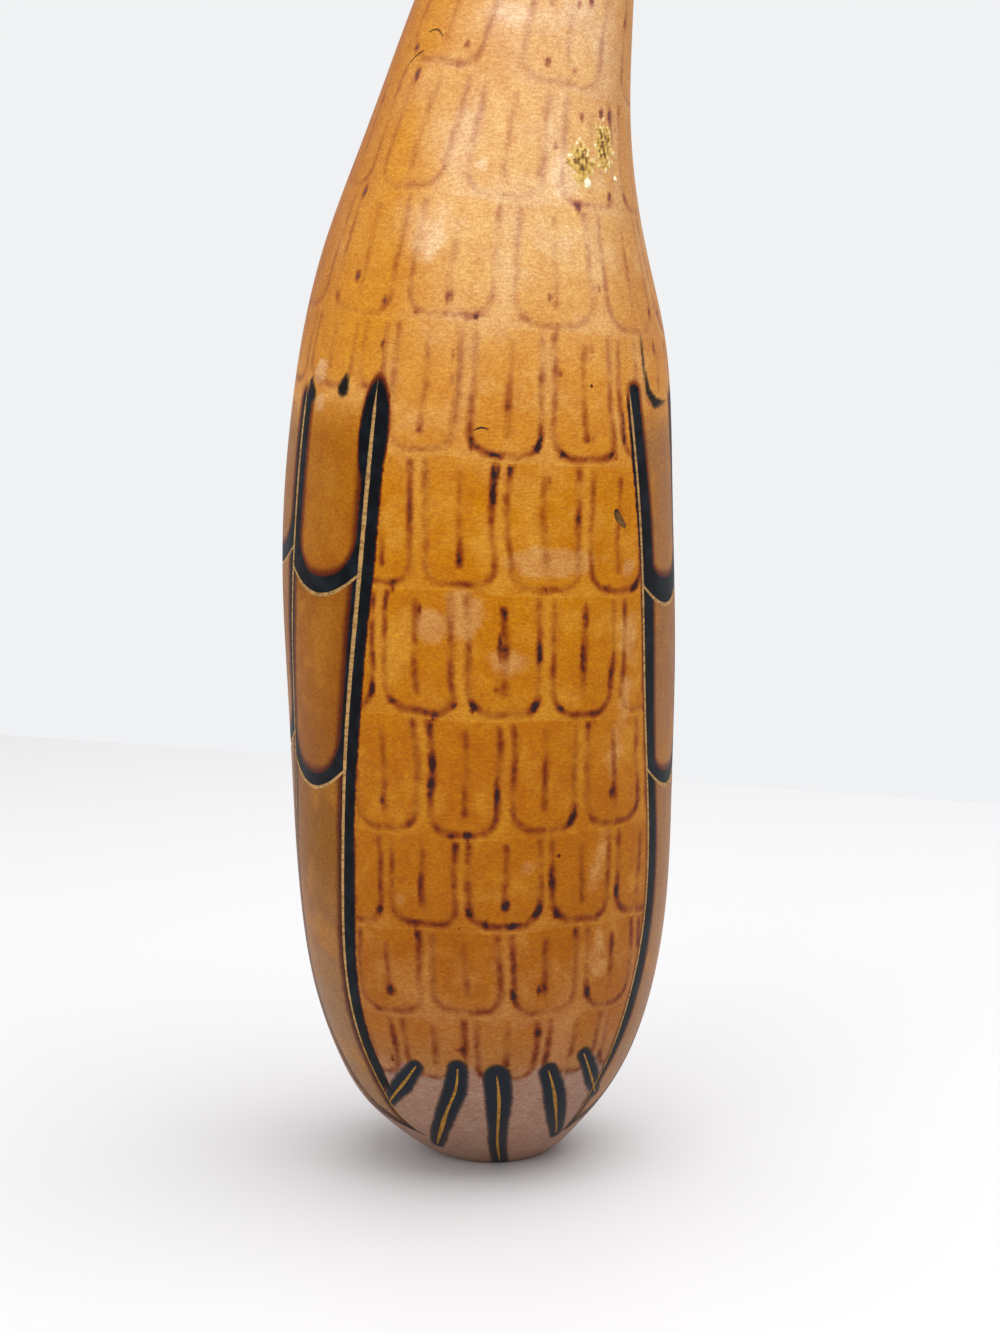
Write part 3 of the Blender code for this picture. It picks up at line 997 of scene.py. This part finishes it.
def wing_marks(skin):
    """How burned the skin is along the wings, and which feather of its strip a point is on, 0 to 2.

    A feather lies between two of the lines and ends in a parabola. It is burned black outside an upright
    bar with a rounded lower end, and the black has a thin brown fringe.
    """
    past_a, past_b, past_c = skin.past
    outer = past_b.above(0.0)
    line_a, line_b, line_c = skin.lines
    low = outer.blend(line_a, line_b)
    high = outer.blend(line_b, line_c)
    half = ((high - low) * skin.degree * 0.5).higher(0.5)
    across = (skin.away - (low + high) * 0.5) * skin.degree
    lift = (across / half) * (across / half) * TIP_RISE

    def tip(which):
        left = outer.blend(TIP_BOTTOMS[-1]["A"][which], TIP_BOTTOMS[-1]["B"][which])
        right = outer.blend(TIP_BOTTOMS[1]["A"][which], TIP_BOTTOMS[1]["B"][which])
        return skin.along - skin.right.blend(left, right) - lift

    first_up, second_up = tip(0), tip(1)
    first = first_up.above(0.0)
    second = (1.0 - first) * second_up.above(0.0)
    third = 1.0 - first - second
    up = first * first_up + second * second_up + third * 60.0
    ragged = skin.fine * 1.1 + skin.broad * 1.3
    inner_rim = first * 2.3 + second * 2.3 + third * 0.9
    outer_rim = first * 4.0 + second * 1.5 + third * 1.1
    tip_rim = first * skin.right.blend(5.2, 7.6) + second * 4.2
    sides = (half + across - inner_rim).lower(half - across - outer_rim) + ragged
    rounding = 6.5
    inset = length_of((rounding - sides).higher(0.0), (rounding - up + tip_rim).higher(0.0))
    clear = rounding - inset
    begins = skin.along.ease(WING_TOP + 1.0, WING_TOP - 5.0)
    feather = clear.ease(0.9, -0.8).higher(clear.ease(3.4, 0.0) * 0.46) * skin.in_span * begins
    feather = feather * skin.along.above(WING_TIP)

    left = 1.0 - skin.right
    band_width = left.blend(skin.along.ease(150.0, 215.0).blend(0.5, 1.5), 4.4) + ragged
    band = (past_a + band_width).ease(-0.75, 0.65) * (past_a * -1.0).ease(-0.8, -0.2)
    band = band * skin.along.ease(236.0, 226.0) * skin.along.ease(30.0, 40.0)
    drop = spot(past_a + 0.4 + ragged * 0.5, skin.along - 220.5, 5.2, 17.0) * left
    outer_half = skin.along.ease(34.0, 62.0).blend(0.7, 2.3) + skin.along.ease(120.0, 170.0) * 0.4
    outer_half = outer_half - skin.along.ease(196.0, 228.0) * 0.5
    rounded = length_of(past_a - outer_half, (skin.along - 232.6).higher(0.0)) - outer_half + ragged * 0.5
    outer_band = rounded.ease(0.7, -0.7).higher(rounded.ease(2.4, 0.0) * 0.42)
    outer_band = outer_band * skin.right * skin.along.above(WING_TIP)
    notch = spot(past_b + 0.6, skin.along - 230.5, 2.0, 4.0) * skin.right
    belly = stroke(past_c - 0.6, 1.3, 0.5) * skin.along.ease(236.0, 230.0) * skin.along.ease(WING_TIP, 26.0)
    whole = feather
    for mark in (band, drop.ease(0.12, 0.74), outer_band, notch, belly):
        whole = whole.higher(mark)
    return whole, first, second, third, up.ease(30.0, 2.0)


def black_strokes(skin):
    """The soft black strokes beside the tail's cuts and over the wings' tops."""
    return (skin.inked + skin.fine * 0.7 + skin.broad * 0.8).ease(-1.3, 0.7)


def specks(paint):
    """Small dark specks: the middles of a few random cells, a few centimetres apart."""
    given = {"Vector": paint.places, "Scale": 1.0 / (9.0 * MM), "Randomness": 1.0}
    cells = paint.node("TexVoronoi", {"voronoi_dimensions": "3D"}, given).outputs
    shade = paint.value(paint.node("SeparateColor", None, {0: cells["Color"]}).outputs[0])
    size = shade.ease(0.55, 1.0) * 0.085
    return (paint.value(cells["Distance"]) - size).ease(0.0, -0.035) * shade.above(0.6)


def burned_skin():
    """Amber skin, mauve towards the tail and on the wings' lower feathers, with the burned plumage.

    A light burn lets the skin show through a brown stain, and a long one chars it. The neck's sides carry a
    painted shade, the pale scuffs a painted sheen, and the blue-grey of the black is in part a painted sheen.
    """
    paint = Paint("burned_skin", Specular_IOR_Level=0.07, Coat_Roughness=0.18, IOR=1.48)
    skin = Skin(paint)
    scales, tail, mist = scale_marks(skin)
    wings, first, second, third, near_tip = wing_marks(skin)
    strokes = black_strokes(skin)

    ground = paint.shades(skin.along, SKIN_SHADES)
    cloud = paint.noise(15.0, 4.0, number=1.3, rough=0.62)
    pale = cloud.ease(0.47, 0.68).higher(mist * cloud.ease(0.36, 0.56).blend(0.15, 0.85))
    ground = paint.mix(pale, ground, paint.shades(skin.along, BLOOM_SHADES))
    side = (skin.turn + 160.0).math("RADIANS").math("SINE")
    amber = (side + skin.broad * 0.9).ease(0.35, 1.0) * skin.along.ease(226.0, 244.0)
    ground = paint.mix(amber * 0.86, ground, colour(*AMBER))
    # Painted shade: the neck darkens towards its sides, away from the middle of the side in view
    across = skin.turn - SEEN_MIDDLE
    aside = across.ease(24.0, 62.0).higher((across * -1.0).ease(48.0, 92.0)) * skin.along.ease(222.0, 262.0)
    ground = paint.mix(aside, ground, paint.mix(1.0, ground, colour(*PAINTED_SIDE_SHADE), "MULTIPLY"))
    tail_shade = paint.mix(skin.broad + 0.5, colour(*TAIL_SHADES[0]), colour(*TAIL_SHADES[1]))
    ground = paint.mix(tail, ground, tail_shade)
    plumes = [[colour(*shade) for shade in pair] for pair in WING_SHADES]
    feathers = paint.mix(second, paint.mix(near_tip, *plumes[0]), paint.mix(near_tip, *plumes[1]))
    feathers = paint.mix(third, feathers, paint.mix(skin.along.ease(112.0, 66.0), *plumes[2]))
    outside = skin.right.higher(skin.past[1].above(0.0)) * 0.8
    feathers = paint.mix(outside, feathers, colour(*OUTER_FEATHER))
    feathers = paint.mix(cloud.ease(0.46, 0.66) * 0.6, feathers, colour(*FEATHER_BLOOM))
    wing_on = skin.in_wing * skin.along.ease(WING_TOP, WING_TOP - 16.0)
    ground = paint.mix(wing_on * 0.9, ground, feathers)

    mottle = paint.noise(5.0, 3.0, number=8.1)
    # Pale scuffs of worn varnish, and with them a painted sheen of reflected light; bare is their shared pale
    # colour
    rubbed_and_sheen = (skin.scuff + (mottle - 0.5) * 0.9 + skin.broad * 0.3).ease(0.22, 0.62)
    on_neck = skin.along.ease(210.0, 260.0)
    bare = paint.mix(on_neck, colour(*SCUFF_AND_SHEEN_SHADES[0]), colour(*SCUFF_AND_SHEEN_SHADES[1]))
    ground = paint.mix(rubbed_and_sheen * 0.42, ground, bare)
    ripple = paint.noise(1.3, 2.0, stretch=(0.8, 0.8, 2.4))
    grain = paint.noise(0.6, 2.0)
    light = ripple.ease(0.30, 0.70).blend(0.85, 1.12) * mottle.ease(0.3, 0.7).blend(0.91, 1.08)
    light = light * grain.ease(0.25, 0.75).blend(0.80, 1.19)
    ground = paint.mix(1.0, ground, paint.vector(light * 0.5 + 0.5, light, light * 1.2 - 0.2), "MULTIPLY")

    burn = (scales * (1.0 - rubbed_and_sheen * 0.35)).higher(specks(paint) * 0.85)
    stain = paint.mix(skin.along.ease(196.0, 250.0), colour(*STAINS[0]), colour(*STAINS[1]))
    shade = paint.mix(burn.ease(-0.05, 0.72), ground, paint.mix(1.0, ground, stain, "MULTIPLY"))
    char = paint.mix(cloud.ease(0.4, 0.6), colour(*CHARS[0]), colour(*CHARS[1]))
    char = paint.mix(skin.along.ease(232.0, 275.0), char, colour(*CHARS[2]))
    shade = paint.mix(burn.ease(0.55, 1.0), shade, char)
    fringe = paint.mix(1.0, ground, colour(*STAINS[2]), "MULTIPLY")
    shade = paint.mix(wings.ease(0.0, 0.5), shade, fringe)
    shade = paint.mix(strokes.ease(0.0, 0.6), shade, paint.mix(1.0, ground, colour(*STAINS[3]), "MULTIPLY"))
    # The tail's black strokes take the blue-grey black, which is partly a painted sheen
    ink = strokes.ease(0.40, 1.0) * skin.along.ease(12.0, 38.0).blend(0.74, 0.95)
    ink_and_sheen_shade = paint.mix(skin.along.ease(60.0, 120.0), colour(*CHARS[4]), colour(*CHARS[3]))
    shade = paint.mix(ink, shade, ink_and_sheen_shade)
    # The wings' black is mottled towards the blue-grey black, which is partly a painted sheen
    soot_and_sheen = paint.mix(mottle.ease(0.42, 0.70) * 0.7, colour(*CHARS[3]), colour(*CHARS[4]))
    shade = paint.mix((wings + (grain - 0.5) * 0.4).ease(0.34, 0.92), shade, soot_and_sheen)
    roughness = (skin.broad + 0.5).blend(0.34, 0.46) + grain * 0.08
    paint.give(paint.surface, {"Coat Weight": 0.11 - wings.higher(ink) * 0.10})
    return paint.finish(shade, roughness, ripple + grain * 0.4, 0.07)


def bare_flesh():
    """Pale corky flesh in the cuts, with the crosswise chatter of the gouge."""
    paint = Paint("bare_flesh", Specular_IOR_Level=0.25)
    height = paint.value(paint.node("SeparateXYZ", None, {0: paint.places}).outputs["Z"]) / MM
    chatter = paint.noise(0.9, 2.0, stretch=(0.6, 0.6, 1.3))
    upper = height.ease(34.0, 46.0)
    dark, pale = (paint.mix(upper, colour(*low), colour(*high)) for low, high in zip(FLESH_LOW, FLESH_HIGH))
    shade = paint.mix(chatter.ease(0.28, 0.62), dark, pale)
    return paint.finish(shade, chatter.blend(0.55, 0.75), chatter, 0.06)


def old_scar():
    """A healed pit, dark brown and olive."""
    paint = Paint("old_scar", Specular_IOR_Level=0.3)
    pits = paint.noise(2.0, 2.0)
    shade = paint.mix(pits.ease(0.35, 0.65), colour(*SCAR_SHADES[0]), colour(*SCAR_SHADES[1]))
    return paint.finish(shade, 0.6, pits, 0.1)


def crust_gilt():
    """Dull gold crust, dark in its pits and pale on its highest grains."""
    paint = Paint("crust_gilt", Specular_IOR_Level=0.4)
    rise = paint.value(paint.node("Attribute", {"attribute_name": "rise"}).outputs["Fac"])
    grain = paint.noise(0.35, 2.0)
    shade = paint.shades(rise + grain * 0.3 - 0.15, CRUST_SHADES)
    return paint.finish(shade, grain.blend(0.35, 0.6), grain, 0.06)


def sanded_foot():
    """The foot, sanded through the skin to the woody shell."""
    paint = Paint("sanded_foot", Specular_IOR_Level=0.3)
    scratches = paint.noise(1.2, 3.0, stretch=(0.25, 1.6, 1.0))
    shade = paint.mix(scratches.ease(0.35, 0.65), colour(*FOOT_SHADES[0]), colour(*FOOT_SHADES[1]))
    return paint.finish(shade, scratches.blend(0.55, 0.8), scratches, 0.08)


def woody_stem():
    """A dry ridged stem: long fibres that follow its turn, darker in the furrows."""
    paint = Paint("woody_stem", Specular_IOR_Level=0.3)
    skin = Skin(paint)
    given = {"Vector": paint.vector(skin.turn / 9.0, skin.along / 7.0), "Scale": 1.0, "Detail": 4.0}
    fibres = paint.value(paint.node("TexNoise", {"noise_dimensions": "2D"}, given).outputs["Fac"])
    shade = paint.mix(fibres.ease(0.3, 0.7), colour(*STEM_SHADES[0]), colour(*STEM_SHADES[1]))
    below = skin.along.ease(TIP_ALONG / MM + 7.0, TIP_ALONG / MM - 2.0)
    shade = paint.mix(below, shade, colour(*STEM_SHADES[2]))
    return paint.finish(shade, fibres.blend(0.6, 0.85), fibres, 0.25)


def build_floor():
    """A pale floor that ends behind the gourd, along the foot of a wall that isn't built."""
    far_left, far_right = np.array(FLOOR_EDGE[0]), np.array(FLOOR_EDGE[1])
    along_edge = (far_right - far_left) / np.linalg.norm(far_right - far_left)
    towards = np.array((along_edge[1], -along_edge[0]))
    middle = (far_left + far_right) / 2.0
    places = ((-FLOOR_HALF, 0.0), (FLOOR_HALF, 0.0), (FLOOR_HALF, FLOOR_DEEP), (-FLOOR_HALF, FLOOR_DEEP))
    corners = [middle + along_edge * x + towards * y for x, y in places]
    points = np.array([(x, y, 0.0) for x, y in corners])
    paint = Paint("pale_floor", Roughness=0.55, Specular_IOR_Level=0.3)
    floor = new_mesh_object("floor", points, [(0, 3, 2, 1)], [paint.finish(colour(*FLOOR_SHADE))])
    floor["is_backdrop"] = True


def build_light(name, place, aim, size, watts):
    lamp = bpy.data.lights.new(name, "AREA")
    lamp.shape = "RECTANGLE"
    lamp.size, lamp.size_y = size
    lamp.energy = watts
    thing = bpy.data.objects.new(name, lamp)
    bpy.context.scene.collection.objects.link(thing)
    thing.location = place
    thing.rotation_euler = (Vector(aim) - Vector(place)).to_track_quat("-Z", "Y").to_euler()


def build_room():
    """A bright wall to look at, a dimmer room that lights the gourd from all round, and two soft lamps."""
    world = bpy.data.worlds.new("soft_room")
    world.use_nodes = True
    tree = world.node_tree
    room = tree.nodes["Background"]
    room.inputs["Color"].default_value = ROOM_SHADE
    wall = tree.nodes.new("ShaderNodeBackground")
    wall.inputs["Color"].default_value = WALL_SHADE
    seen = tree.nodes.new("ShaderNodeLightPath")
    either = tree.nodes.new("ShaderNodeMixShader")
    tree.links.new(seen.outputs["Is Camera Ray"], either.inputs[0])
    tree.links.new(room.outputs[0], either.inputs[1])
    tree.links.new(wall.outputs[0], either.inputs[2])
    tree.links.new(either.outputs[0], tree.nodes["World Output"].inputs[0])
    bpy.context.scene.world = world
    for lamp in LAMPS:
        build_light(*lamp)


def build_camera():
    """The photograph's long view from 0.8 m away, tipped down by CAMERA_PITCH degrees."""
    camera = bpy.data.cameras.new("camera")
    camera.sensor_width = SENSOR
    camera.lens = FOCAL_PIXELS * SENSOR / PHOTO_HEIGHT
    camera.clip_start = 0.01
    thing = bpy.data.objects.new("camera", camera)
    bpy.context.scene.collection.objects.link(thing)
    thing.location = CAMERA_PLACE
    thing.rotation_euler = (math.radians(90.0 - CAMERA_PITCH), 0.0, 0.0)
    bpy.context.scene.camera = thing


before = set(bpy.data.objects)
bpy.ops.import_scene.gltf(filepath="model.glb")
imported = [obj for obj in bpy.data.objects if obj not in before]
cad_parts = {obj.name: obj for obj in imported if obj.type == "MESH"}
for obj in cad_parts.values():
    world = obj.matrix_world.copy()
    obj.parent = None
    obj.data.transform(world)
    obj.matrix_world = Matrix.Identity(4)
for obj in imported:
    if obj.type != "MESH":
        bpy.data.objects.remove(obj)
packed_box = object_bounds()
gourd = skin_net([burned_skin(), sanded_foot(), woody_stem()])
carve(gourd, bare_flesh(), old_scar())
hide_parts("gourd")
crust = gilt_crust(crust_gilt())
for piece in (gourd, crust):
    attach(piece, "root")
build_floor()
build_room()
build_camera()
bpy.context.scene.view_settings.view_transform = "Standard"

dressed_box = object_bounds()
boxes = {"packed": packed_box, "dressed": dressed_box}
{name: [list(corner) for corner in box] for name, box in boxes.items()}
